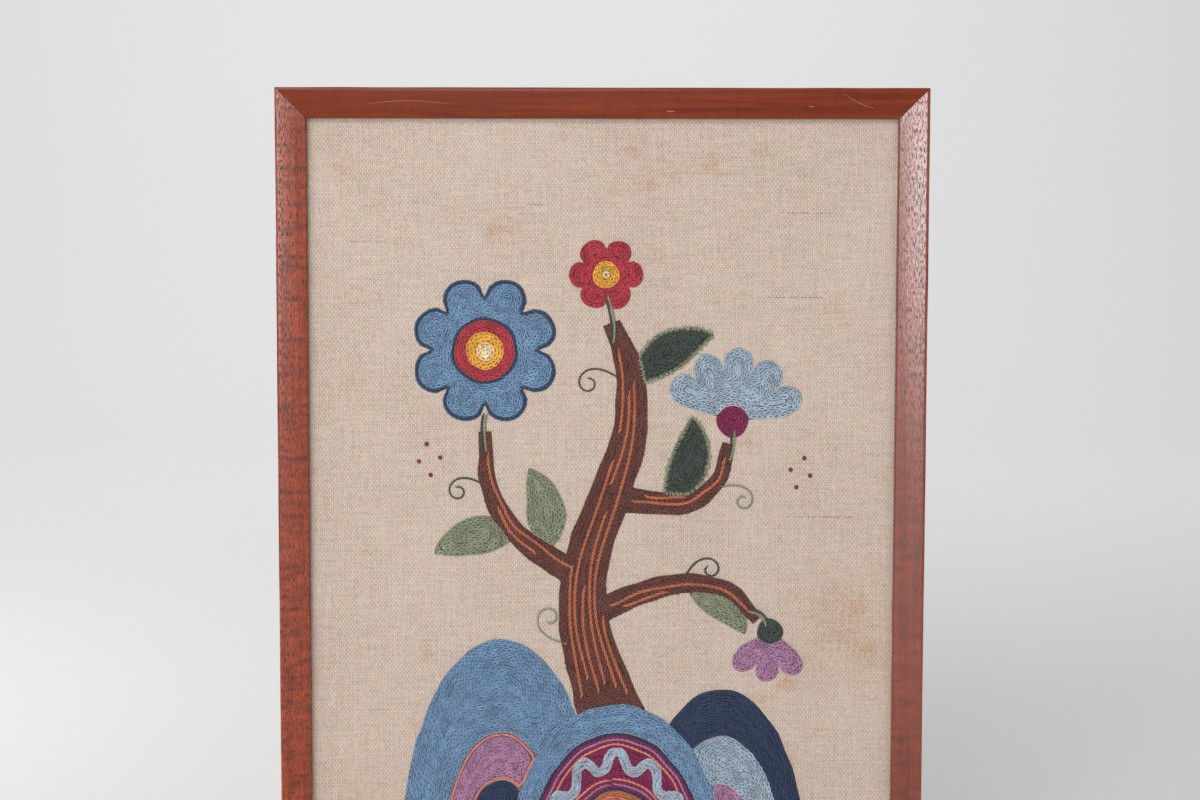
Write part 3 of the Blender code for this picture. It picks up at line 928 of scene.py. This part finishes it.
# The middle lines of the trunk and the branches, with half the width at each point, as in the solids
STEMS = {
    "trunk": [(14, 96, 27), (10, 126, 19.5), (0, 158, 15), (-9, 190, 12.5), (-8, 222, 11), (3, 255, 10),
              (14, 288, 8.5), (14, 322, 6.5), (5, 346, 4)],
    "left": [(-6, 214, 6), (-26, 224, 6), (-46, 240, 5), (-58, 262, 4), (-60, 290, 2.8)],
    "right": [(6, 256, 6), (26, 254, 5.5), (46, 254, 4.6), (60, 266, 3.6), (65, 284, 2.8)],
    "low": [(-4, 196, 6), (18, 206, 5.4), (42, 212, 4.6), (66, 208, 3.6), (80, 193, 2.6)],
}
Streak = namedtuple("Streak", "stem aside start end")
STREAKS = [  # aside is a share of half the width, start and end are shares of the length
    Streak("trunk", -0.70, 0.24, 0.50),
    Streak("trunk", -0.42, 0.27, 0.72),
    Streak("trunk", -0.12, 0.24, 0.46),
    Streak("trunk", 0.16, 0.25, 0.62),
    Streak("trunk", 0.44, 0.24, 0.88),
    Streak("trunk", 0.72, 0.22, 0.40),
    Streak("trunk", -0.40, 0.77, 0.95),
    Streak("trunk", -0.05, 0.66, 0.86),
    Streak("left", 0.30, 0.10, 0.90),
    Streak("left", -0.40, 0.30, 0.62),
    Streak("right", 0.10, 0.12, 0.92),
    Streak("right", -0.50, 0.20, 0.50),
    Streak("low", -0.10, 0.10, 0.94),
    Streak("low", 0.50, 0.16, 0.44),
]
STREAK_WIDTH = 2.3
STREAK_LIFT = 0.5  # how far a streak lies above the rows that it is worked on
STEM_POINTS = 160


def streak_line(streak):
    """A wavy line along a stem, on one side of its middle, between two shares of its length."""
    route = smoothed(resampled(np.array(STEMS[streak.stem], float), STEM_POINTS), 60)
    middle, half_width = route[:, :2], route[:, 2:]
    wave = 0.5 * np.sin(np.arange(STEM_POINTS) / 9 + 7 * streak.aside)[:, None]
    line = middle + (streak.aside * half_width + wave) * right_of(unit(np.gradient(middle, axis=0)))
    line = line[round(STEM_POINTS * streak.start) : round(STEM_POINTS * streak.end)]
    return in_sight(*line.T)


# Shares of the distance between two rows of a filling
ROOM = 0.58  # between the centres of two stitches
MIDDLE_ROOM = 0.66  # the same for a stitch on a middle line
LOOP_WIDTH = 1.12
STRAND_HALF_WIDTH = 0.52

STRAND_RISE = 0.6  # how high a strand of stem filling arches
STRAND_OVERLAP = 0.35  # how far it runs past its marks, as a share of its length
LINE_WIDTH = 1.9
LINE_CLEAR = 0.9  # the share of a row that has to be free for a line in another wool
LINE_CHANCE = 1.0  # that a row which is free enough gets its line


def fill_node(filling, seed):
    """Works a pad's whole field, row by row from its outline inwards, and replaces the pad."""
    rng = np.random.default_rng(seed)
    wools = list(dict.fromkeys([filling.wool, *filling.lines.values()]))
    chain = filling.stitch == "chain"
    spacing = size("chain_row" if chain else "stem_row")
    pitch = size("chain_length" if chain else "stem_length")
    ground = Ground()
    # Each field starts on a dark underlay of painted shade.
    shells = [shade_underlay(filling.node)]
    for number, row in filling_rows(outline_loops(filling.node), spacing):
        if len(row) < 3 or line_length(row) < SHORTEST * pitch:
            continue
        row = row + (EDGE_WANDER if number == 0 else 1.0) * wander(row)
        starts, ends = stitch_ends(row, pitch, rng)
        clear = ground.free(starts, ends, (MIDDLE_ROOM if number is None else ROOM) * spacing)
        starts, ends = starts[clear], ends[clear]
        if not len(starts):
            continue
        material = 0
        if number in filling.lines and clear.mean() > LINE_CLEAR and rng.uniform() < LINE_CHANCE:
            material = wools.index(filling.lines[number])
            shells.append(stem_stitches(row, rng, LINE_WIDTH, material))
        elif chain:
            shells.append(chain_loops(starts, ends, rng, LOOP_WIDTH * spacing))
        else:
            past = STRAND_OVERLAP * (ends - starts)
            half = STRAND_HALF_WIDTH * spacing
            shells.append(straight_stitches(starts - past, ends + past, rng, STRAND_RISE, half))
        shells.append(reverse_stitches(starts, ends, rng, material))
    if filling.node == "trunk":
        lines = [stem_stitches(streak_line(streak), rng, STREAK_WIDTH, len(wools)) for streak in STREAKS]
        wools.append("terracotta")
        shells.append(lifted(joined(lines), STREAK_LIFT))
    return yarn_piece(
        "stitches_" + filling.node, shells, map(wool, wools), "wool_" + filling.wool, filling.node
    )


FRINGE_STEP = 0.8  # from one spike of a fringe to the next


def make_fringe(name, seed):
    """Spikes across a leaf's edge: each starts inside the outline, ends outside it and leans along it."""
    rng = np.random.default_rng(seed)
    shells = []
    for loop in outline_loops(name):
        points = resampled(loop, round(line_length(closed_up(loop)) / FRINGE_STEP), closed=True)
        along = unit(np.roll(points, -1, axis=0) - np.roll(points, 1, axis=0))
        outward = right_of(along)
        count = (len(points), 1)
        starts = points - rng.uniform(0.5, 1.3, count) * outward
        ends = points + rng.uniform(0.7, 1.9, count) * outward + rng.uniform(-0.3, 1.0, count) * along
        shells.append(straight_stitches(starts, ends, rng, 0.75, 0.42, 1.0, 0, 4))
        shells.append(reverse_stitches(starts, ends, rng))
    return yarn_piece("fringe_" + name, shells, [wool("sage")], "wool_sage")


# Frame members

Member = namedtuple("Member", "side length turn x z tone pores shine")
# A member's tone is painted light and shade: the members differ in brightness because of how light falls on
# them, not in their wood; the left one is made lightest, the top one darkest.
MEMBERS = [
    Member("left", OUTER_HEIGHT, 0, -OUTER_WIDTH / 2, OUTER_HEIGHT / 2, 1.56, 1.0, 0.37),
    Member("top", OUTER_WIDTH, 90, 0, OUTER_HEIGHT, 0.90, 0.22, 0.12),
    Member("right", OUTER_HEIGHT, 180, OUTER_WIDTH / 2, OUTER_HEIGHT / 2, 1.18, 0.75, 0.60),
    Member("bottom", OUTER_WIDTH, -90, 0, 0, 0.97, 0.5, 0.30),
]
MEMBER_SECTIONS = 61
ARC_POINTS = 5  # on each rounded edge
EDGE_WEAR = 0.12  # at most, on the outer edge of the front
WEAR_AND_HIGHLIGHT_TONE = 5  # the share of the pale edge colour, wear and partly painted highlight, for a millimetre of wear
GRAIN_STEP = 131.0  # from one member's grain to the next one's, so that no two are alike


def rounded(points, radii):
    """A closed outline whose corners are arcs, each a quadratic curve with the corner as its handle."""
    points = np.array(points, float)
    radii = np.array(radii)[:, None]
    enter, leave = (points + unit(np.roll(points, by, axis=0) - points) * radii for by in (1, -1))
    return np.concatenate([curve(*corner, ARC_POINTS) for corner in zip(enter, points, leave)])


def moulding_profile():
    """The member's section: X from the outer edge inwards, Y from the front to the back."""
    rebate = MOULDING_WIDTH - REBATE_WIDTH
    lip_back = FRONT_Y + FACE_FALL + LIP_THICKNESS
    corners = [
        (0, FRONT_Y),
        (RIM_WIDTH, FRONT_Y),
        (MOULDING_WIDTH, FRONT_Y + FACE_FALL),
        (MOULDING_WIDTH, lip_back),
        (rebate, lip_back),
        (rebate, BACK_Y),
        (0, BACK_Y),
    ]
    return rounded(corners, (0.7, 0.35, 0.5, 0.2, 0.2, 0.4, 0.7))


def make_member(member, number, material):
    """The section carried along the member, its ends on the mitre planes, its outer edges slightly rubbed
    away and paler there: wear, and partly a painted highlight.
    """
    rng = np.random.default_rng(40 + number)
    profile = moulding_profile()
    width = len(profile)
    half = member.length / 2 - MITRE_GAP - profile[:, 0]
    lengthwise = np.linspace(-1, 1, MEMBER_SECTIONS)[:, None] * half
    edge = np.exp(-((profile[:, 0] / 0.8) ** 2)) * (np.abs(profile[:, 1] - FRONT_Y) < 1.0)
    marks = np.arange(0, MEMBER_SECTIONS, 3)
    wear = rng.uniform(0, EDGE_WEAR, len(marks))
    wear = np.interp(np.arange(MEMBER_SECTIONS), marks, wear)[:, None] * edge
    inwards, depth = profile[:, 0] + wear, profile[:, 1] + wear
    turn = math.radians(member.turn)
    x = member.x + inwards * math.cos(turn) + lengthwise * math.sin(turn)
    z = member.z - inwards * math.sin(turn) + lengthwise * math.cos(turn)
    points = np.stack([x, depth, z], axis=-1).reshape(-1, 3)
    quads = grid(MEMBER_SECTIONS, width, closed_columns=True)
    cap = np.arange(width)
    corners = np.concatenate([quads.ravel(), cap[::-1], len(points) - width + cap])
    sides = np.append(np.full(len(quads), 4), [width, width])
    piece = new_mesh("wood_frame_" + member.side, points, corners, sides, [material])
    run = (lengthwise + GRAIN_STEP * number).ravel()
    around = run_along(closed_up(profile))
    uv = np.stack([run[quads], around[quads[:, :1] % width + [0, 1, 1, 0]]], axis=-1)
    set_uv(piece, "grain", np.concatenate([uv.reshape(-1, 2), profile[::-1], profile]))
    # The member's tone, painted light and shade, goes into the shade attribute.
    set_values(piece, "shade", member.tone)
    set_values(piece, "pores", member.pores)
    set_values(piece, "worn", WEAR_AND_HIGHLIGHT_TONE * wear.ravel())
    piece.data.set_sharp_from_angle(angle=math.radians(35))
    return fasten(piece, "hardwood", "frame_" + member.side)


Scratch = namedtuple("Scratch", "x0 in0 x1 in1 bow half_wide")
SCRATCHES = [  # along the top member: x, and how far in from the outer edge, at both ends
    Scratch(-120, 8.6, -78, 8.2, -1.6, 0.12),
    Scratch(32.4, 11.8, 36.2, 12.0, 0.0, 0.30),
    Scratch(104, 9.2, 107, 9.6, 0.0, 0.22),
    Scratch(121, 2.6, 137, 10.4, 0.8, 0.10),
]
SCRATCH_PROUD = 0.03


def make_scratches():
    """Thin strips of scuffed wood that lie on the top member's sloping face."""
    share = np.linspace(0, 1, 9)
    shells = []
    for scratch in SCRATCHES:
        x = scratch.x0 + (scratch.x1 - scratch.x0) * share
        inwards = scratch.in0 + (scratch.in1 - scratch.in0) * share + scratch.bow * np.sin(math.pi * share)
        fall = FACE_FALL * (inwards - RIM_WIDTH) / (MOULDING_WIDTH - RIM_WIDTH)
        line = np.stack([x, FRONT_Y + fall, OUTER_HEIGHT - inwards], axis=1)[None]
        half = scratch.half_wide * (0.3 + 0.7 * np.sin(math.pi * share))
        shells.append(yarns(line, half[None], SCRATCH_PROUD, 4))
    shell = joined(shells)
    piece = new_mesh("wood_scratches", shell.points, shell.corners, shell.sides, [scuffed_wood()])
    return fasten(piece, "hardwood")


# Linen sheet

Spot = namedtuple("Spot", "x z radius strength")
SPOTS = [
    Spot(*spot)
    for spot in (
        (-56, 408, 4.0, 0.55), (-47, 409, 3.0, 0.50), (14, 450, 3.0, 0.70), (24, 432, 3.0, 0.65),
        (55, 444, 4.0, 0.75), (82, 449, 3.5, 0.50), (74, 300, 4.0, 0.50), (132, 215, 5.0, 0.45),
        (128, 205, 26.0, 0.30), (-128, 330, 4.5, 0.40), (118, 370, 3.5, 0.50), (-96, 150, 4.0, 0.40),
        (98, 134, 4.0, 0.55), (96, 176, 3.6, 0.75), (84, 167, 3.0, 0.60), (112, 150, 3.0, 0.45),
        (136, 192, 4.5, 0.50), (-132, 440, 4.0, 0.45), (30, 60, 5.0, 0.35), (-90, 190, 3.2, 0.50),
        (-120, 120, 22.0, 0.14),
    )
]
Slub = namedtuple("Slub", "x z length wool")
SLUBS = [
    Slub(-34, 422, 9, "brown"),
    Slub(50, 438, 42, "terracotta"),
    Slub(99, 375, 28, "brown"),
    Slub(104, 418, 26, "brown"),
    Slub(-120, 403, 20, "terracotta"),
    Slub(-20, 330, 22, None),
    Slub(112, 262, 34, "brown"),
    Slub(-118, 244, 30, None),
    Slub(-60, 80, 36, "brown"),
    Slub(70, 48, 28, None),
]
GRID_STEP = 3.0  # between two points of the sheet
DOT_CHANCE = 0.8  # that a slub's dyed strand shows at one of its places


def make_linen():
    """The stretched sheet: two faces of one gently waved grid, closed round the edge."""
    wide, tall = (round((CLOTH_HIGH[k] - CLOTH_LOW[k]) / GRID_STEP) + 1 for k in (0, 2))
    x, z = np.meshgrid(
        np.linspace(CLOTH_LOW[0], CLOTH_HIGH[0], wide), np.linspace(CLOTH_LOW[2], CLOTH_HIGH[2], tall)
    )
    front = on_cloth(np.stack([x, z], axis=-1), 0.0).reshape(-1, 3)
    points = np.concatenate([front, front + [0, size("linen_thickness"), 0]])
    under = len(front)
    numbers = np.arange(under).reshape(tall, wide)
    rim = np.concatenate([numbers[0, :-1], numbers[:-1, -1], numbers[-1, :0:-1], numbers[:0:-1, 0]])
    after = np.roll(rim, -1)
    edge = np.stack([rim, rim + under, after + under, after], axis=1)
    quads = grid(tall, wide)
    faces = np.concatenate([quads, quads[:, ::-1] + under, edge])
    piece = new_mesh("linen_ground", points, faces.ravel(), np.full(len(faces), 4), [linen()])
    stain = np.zeros(len(points))
    for spot in SPOTS:
        away = np.hypot(points[:, 0] - spot.x, points[:, 2] - spot.z)
        stain += spot.strength * np.exp(-((away / spot.radius) ** 2))
    set_values(piece, "foxing", np.clip(stain, 0, 1))
    fasten(piece, "linen", "linen_sheet")
    return piece


# Line work on the linen: tendrils, berries, the zigzag and the grass


ZIGZAG_PEAKS = 13
ZIGZAG_ROWS = 3
ZIGZAG_ROW = 1.75  # between two rows of the zigzag
ZIGZAG_SHARE = 0.80  # the middle of its swing, as a share of the band's outer arc
ZIGZAG_SWING = 0.065  # and how far it swings from there
ZIGZAG_LIFT = 0.55  # how far the zigzag lies above the field that it is worked on


def make_zigzag():
    """A light-blue zigzag on the front mound's wine band: rows of chain stitch, blunt at each turn.

    The line follows the band's outer arc and swings between two shares of its size, as a sine wave
    cut off near its top and foot.
    """
    rng = np.random.default_rng(71)
    low, high = box_mm("mound_front_band")
    turn = np.linspace(-math.pi / 2, math.pi / 2, 40 * ZIGZAG_PEAKS)
    swing = np.clip(1.35 * np.sin(np.linspace(0, TAU * ZIGZAG_PEAKS / 2, len(turn))), -1, 1)
    share = ZIGZAG_SHARE + ZIGZAG_SWING * swing
    x = (low[0] + high[0]) / 2 + share * (high[0] - low[0]) / 2 * np.sin(turn)
    path = np.stack([x, low[2] + share * (high[2] - low[2]) * np.cos(turn)], axis=1)
    aside = smoothed(right_of(unit(np.gradient(path, axis=0))), 12)
    shells = []
    for place in range(ZIGZAG_ROWS):
        row = path + (place - (ZIGZAG_ROWS - 1) / 2) * ZIGZAG_ROW * aside
        starts, ends = stitch_ends(row, size("chain_length"), rng)
        shells.append(lifted(chain_loops(starts, ends, rng, 1.1 * ZIGZAG_ROW), ZIGZAG_LIFT))
    return yarn_piece("stitches_zigzag", shells, [wool("light_blue")], "wool_light_blue")


# Heights in these tables are above the sight's lower edge.
STALKS = [  # the foot, handle and end of a curve
    ((5, 336), (7, 348), (2, 360)),
    ((-60, 280), (-62, 290), (-60, 300)),
    ((65, 276), (68, 284), (67, 291)),
    ((76, 198), (83, 198), (86, 190)),
]
Tendril = namedtuple("Tendril", "x y lean length curl wool")
TENDRILS = [
    Tendril(-59, 262, -60, 42, -420, "dark_green"),
    Tendril(9, 318, -60, 44, -400, "dark_green"),
    Tendril(60, 262, 80, 40, 400, "sage"),
    Tendril(42, 214, 30, 40, 380, "dark_green"),
    Tendril(-17, 180, -75, 46, 380, "sage"),
]
BERRIES = [(-88, 268), (-94, 275), (-83, 277), (-90, 284), (100, 262), (107, 268), (97, 271), (104, 277)]
Tuft = namedtuple("Tuft", "x blades wool")
TUFTS = [
    Tuft(-88, 7, "sage"), Tuft(-64, 5, "dark_green"), Tuft(-38, 6, "sage"), Tuft(-12, 5, "dark_green"),
    Tuft(16, 7, "sage"), Tuft(44, 5, "dark_green"), Tuft(72, 6, "sage"), Tuft(96, 7, "sage"),
]
GROUND_HEIGHT = 61.5
CURL_STEP = 1.5  # step of the stem stitches round a curl
TUFT_LEAN = 38  # degrees, of a tuft's outermost blades
TENDRIL_WIDTH = 1.6
STALK_WIDTH = 1.9
GROUND_WIDTH = 2.0
STALK_LIFT = 0.5  # how far a stalk lies above the cloth, on the end of its branch


def tendril_line(tendril, points=60):
    """A line that leaves at its lean, and curls ever tighter to its end."""
    share = np.linspace(0, 1, points)
    heading = np.radians(tendril.lean + tendril.curl * share**2.2)
    step = np.stack([np.sin(heading), np.cos(heading)], axis=1) * tendril.length / points
    return in_sight(tendril.x, tendril.y) + np.cumsum(step, axis=0)


def stalk_line(stalk, aside):
    """A quadratic curve through a stalk's ends with its middle point as handle, moved to one side."""
    line = curve(*in_sight(*zip(*stalk)), 24)
    return line + aside * right_of(unit(np.gradient(line, axis=0)))


def tuft_blades(tuft):
    """Starts and ends of a tuft's blades, which fan out from one foot and are longest in the middle."""
    spread = np.linspace(-1, 1, tuft.blades)
    lean = np.radians(TUFT_LEAN * spread)
    foot = in_sight(tuft.x + 1.3 * spread, np.full(tuft.blades, GROUND_HEIGHT + 0.6))
    length = 11 - 5 * np.abs(spread)
    return foot, foot + length[:, None] * np.stack([np.sin(lean), np.cos(lean)], axis=1)


def make_line_work():
    """Stalks, tendrils and ground line in stem stitch, berries in knots, and grass in straight stitches."""
    rng = np.random.default_rng(73)
    wools = ["dark_green", "sage", "wine", "brown", "terracotta"]
    shells = [
        stem_stitches(tendril_line(tendril), rng, TENDRIL_WIDTH, wools.index(tendril.wool), CURL_STEP)
        for tendril in TENDRILS
    ]
    for stalk in STALKS:
        for aside, name in ((-0.8, "dark_green"), (0.8, "sage")):
            line = stalk_line(stalk, aside)
            row = stem_stitches(line, rng, STALK_WIDTH, wools.index(name), CURL_STEP)
            shells.append(lifted(row, STALK_LIFT))
    x = np.linspace(-112, 112, 120)
    for drop, name in ((0.0, "brown"), (2.0, "terracotta")):
        ground = in_sight(x, GROUND_HEIGHT - drop + 1.2 * np.sin(x / 17))
        shells.append(stem_stitches(ground, rng, GROUND_WIDTH, wools.index(name)))
    for tuft in TUFTS:
        starts, ends = tuft_blades(tuft)
        shells.append(straight_stitches(starts, ends, rng, 0.7, 0.45, 1.0, wools.index(tuft.wool), 6))
    shells.append(knots(in_sight(*zip(*BERRIES)), rng, wools.index("wine")))
    return yarn_piece("stitches_line_work", shells, map(wool, wools), "wool_dark_green")


def make_slubs():
    """Thick stretches of weft that stand a little out of the weave, some with a dyed strand spun in.

    The dyed strand shows as a short dot between every second pair of warp threads.
    """
    rng = np.random.default_rng(77)
    dyes = ["brown", "terracotta"]
    shells = []
    for slub in SLUBS:
        share = np.linspace(0, 1, 9)
        flat = np.stack([slub.x + slub.length * (share - 0.5), slub.z + 0.15 * np.sin(5 * share)], axis=1)
        lines = on_cloth(flat, -0.05)[None]
        fat = 0.12 + 0.2 * np.sin(math.pi * share) ** 0.7
        shells.append(yarns(lines, fat[None], 0.7 * fat[None], 4))
        if slub.wool is None:
            continue
        middles = np.arange(0.5, slub.length, 2 * size("warp_pitch")) - slub.length / 2
        middles = middles[rng.random(len(middles)) < DOT_CHANCE]
        across = slub.x + middles[:, None] + [-0.4, 0.0, 0.4]
        dots = on_cloth(np.stack([across, np.full_like(across, slub.z)], axis=-1), 0.08)
        tones = shades(rng, len(dots), 1.25, 0.2)
        shells.append(yarns(dots, 0.24, 0.16, 4, False, tones, 1 + dyes.index(slub.wool)))
    piece = yarn_piece("linen_slubs", shells, [linen(), *map(wool, dyes)], "linen")
    set_values(piece, "foxing", 0.15)
    return piece


# Operators


def work_fields(group, seed):
    """Works the fields of a group, each with a seed of its own, and the fringe of those that have one."""
    for number, filling in enumerate(FILLINGS[group]):
        fill_node(filling, seed + number)
        if filling.node in FRINGED:
            make_fringe(filling.node, seed + 10 + number)


class CREWEL_OT_frame(bpy.types.Operator):
    """Make the four members of the hardwood frame"""

    bl_idname = "crewel.frame"
    bl_label = "Frame"

    def execute(self, context):
        for number, member in enumerate(MEMBERS):
            make_member(member, number, hardwood(member.side, member.shine))
        make_scratches()
        return {"FINISHED"}


class CREWEL_OT_linen(bpy.types.Operator):
    """Make the stretched linen and its thick threads"""

    bl_idname = "crewel.linen"
    bl_label = "Linen"

    def execute(self, context):
        make_linen()
        make_slubs()
        return {"FINISHED"}


class CREWEL_OT_mounds(bpy.types.Operator):
    """Work the three mounds and the zigzag"""

    bl_idname = "crewel.mounds"
    bl_label = "Mounds"

    def execute(self, context):
        work_fields("mounds", 100)
        make_zigzag()
        return {"FINISHED"}


class CREWEL_OT_tree(bpy.types.Operator):
    """Work the trunk with its branches"""

    bl_idname = "crewel.tree"
    bl_label = "Tree"

    def execute(self, context):
        work_fields("tree", 130)
        return {"FINISHED"}


class CREWEL_OT_flowers(bpy.types.Operator):
    """Work the four flowers"""

    bl_idname = "crewel.flowers"
    bl_label = "Flowers"

    def execute(self, context):
        work_fields("flowers", 140)
        return {"FINISHED"}


class CREWEL_OT_leaves(bpy.types.Operator):
    """Work the leaves"""

    bl_idname = "crewel.leaves"
    bl_label = "Leaves"

    def execute(self, context):
        work_fields("leaves", 160)
        return {"FINISHED"}


class CREWEL_OT_line_work(bpy.types.Operator):
    """Work the tendrils and berries"""

    bl_idname = "crewel.line_work"
    bl_label = "Line work"

    def execute(self, context):
        make_line_work()
        return {"FINISHED"}


# Stage

CAMERA_LENS = 70.0
CAMERA_AIM = Vector((-0.0010, -0.011, 0.3229))
CAMERA_DISTANCE = 1.1888
CAMERA_PITCH = 4.8
CAMERA_ROLL = 0.10


def make_camera():
    """A camera at the photograph's angle: square on, a little above, the panel's foot below the picture."""
    data = bpy.data.cameras.new("camera")
    data.lens = CAMERA_LENS
    data.sensor_width = 36.0
    camera = bpy.data.objects.new("camera", data)
    pitch = math.radians(CAMERA_PITCH)
    back = Vector((0, -math.cos(pitch), math.sin(pitch)))
    camera.location = CAMERA_AIM + back * CAMERA_DISTANCE
    level = Matrix.Rotation(math.radians(90 - CAMERA_PITCH), 4, "X")
    camera.rotation_euler = (level @ Matrix.Rotation(math.radians(CAMERA_ROLL), 4, "Z")).to_euler()
    bpy.context.scene.collection.objects.link(camera)
    bpy.context.scene.camera = camera


def make_sweep():
    """Floor and wall in one paper sweep: level, then a quarter circle up to an upright wall."""
    near, far, bend, height, half = -6.0, 4.5, 1.6, 7.0, 6.0
    turn = np.linspace(0, math.pi / 2, 17)
    profile = np.concatenate(
        [
            [[near, 0]],
            np.stack([far - bend + bend * np.sin(turn), bend - bend * np.cos(turn)], axis=1),
            [[far, height]],
        ]
    )
    points = np.concatenate([np.insert(profile, 0, side, axis=1) for side in (-half, half)]) / MM
    quads = grid(2, len(profile))[:, [0, 3, 2, 1]]
    sweep = new_mesh("paper_sweep", points, quads.ravel(), np.full(len(quads), 4), [studio_paper()])


Light = namedtuple("Light", "name place aim width height power")
LIGHTS = [
    Light("key softbox", (-0.60, -1.90, 0.74), (0, 0, 0.3), 0.3, 0.3, 4.1),
    Light("high softbox", (-0.45, -1.80, 1.30), (0, 0, 0.3), 0.5, 0.5, 13.6),
    Light("tall softbox", (-0.12, -1.90, 0.50), (0, 0, 0.3), 0.3, 0.5, 12),
    Light("fill softbox", (2.1, -1.9, 1.2), (0, 0, 0.3), 1.6, 1.6, 1.5),
    Light("backdrop softbox", (-0.3, 1.9, 3.2), (-0.3, 4.6, 0.6), 4.0, 2.0, 78),
    Light("floor softbox", (-1.2, 0.4, 0.9), (-0.7, 0.7, 0), 0.5, 0.5, 7.0),
]
WORLD_STRENGTH = 0.28


def make_lights():
    """Softboxes in front of the panel, one above the wall, and a pale surround."""
    for light in LIGHTS:
        data = bpy.data.lights.new(light.name, "AREA")
        data.shape = "RECTANGLE"
        data.size, data.size_y = light.width, light.height
        data.energy = light.power
        lamp = bpy.data.objects.new(light.name, data)
        lamp.location = light.place
        lamp.rotation_mode = "QUATERNION"
        lamp.rotation_quaternion = (Vector(light.place) - Vector(light.aim)).to_track_quat("Z", "Y")
        bpy.context.scene.collection.objects.link(lamp)
    world = bpy.data.worlds.new("pale studio")
    world.use_nodes = True
    background = world.node_tree.nodes["Background"]
    background.inputs["Color"].default_value = (*linear("#E6E6E6"), 1)
    background.inputs["Strength"].default_value = WORLD_STRENGTH
    bpy.context.scene.world = world
    bpy.context.scene.view_settings.view_transform = "Standard"


class CREWEL_OT_stage(bpy.types.Operator):
    """Make the paper sweep, the lights and the camera"""

    bl_idname = "crewel.stage"
    bl_label = "Stage"

    def execute(self, context):
        make_sweep()
        make_lights()
        make_camera()
        return {"FINISHED"}


class CREWEL_PT_panel(bpy.types.Panel):
    """Lists the operators, the sizes and the colours"""

    bl_idname = "CREWEL_PT_panel"
    bl_label = "Crewel Panel"
    bl_space_type = "VIEW_3D"
    bl_region_type = "UI"
    bl_category = "Crewel"

    def draw(self, context):
        for operator in OPERATORS:
            self.layout.operator(operator.bl_idname)
        for group in (context.scene.crewel_sizes, context.scene.crewel_colours):
            column = self.layout.column()
            for name in type(group).__annotations__:
                column.prop(group, name)


OPERATORS = (
    CREWEL_OT_frame,
    CREWEL_OT_linen,
    CREWEL_OT_mounds,
    CREWEL_OT_tree,
    CREWEL_OT_flowers,
    CREWEL_OT_leaves,
    CREWEL_OT_line_work,
    CREWEL_OT_stage,
)
CLASSES = (CrewelColours, CrewelSizes, *OPERATORS, CREWEL_PT_panel)


def register():
    for cls in CLASSES:
        bpy.utils.register_class(cls)
    bpy.types.Scene.crewel_sizes = PointerProperty(type=CrewelSizes)
    bpy.types.Scene.crewel_colours = PointerProperty(type=CrewelColours)


def unregister():
    del bpy.types.Scene.crewel_colours
    del bpy.types.Scene.crewel_sizes
    for cls in reversed(CLASSES):
        bpy.utils.unregister_class(cls)


def main():
    register()
    bpy.ops.crewel.frame()
    bpy.ops.crewel.linen()
    bpy.ops.crewel.mounds()
    bpy.ops.crewel.tree()
    bpy.ops.crewel.flowers()
    bpy.ops.crewel.leaves()
    bpy.ops.crewel.line_work()
    bpy.ops.crewel.stage()


if __name__ == "__main__":
    main()
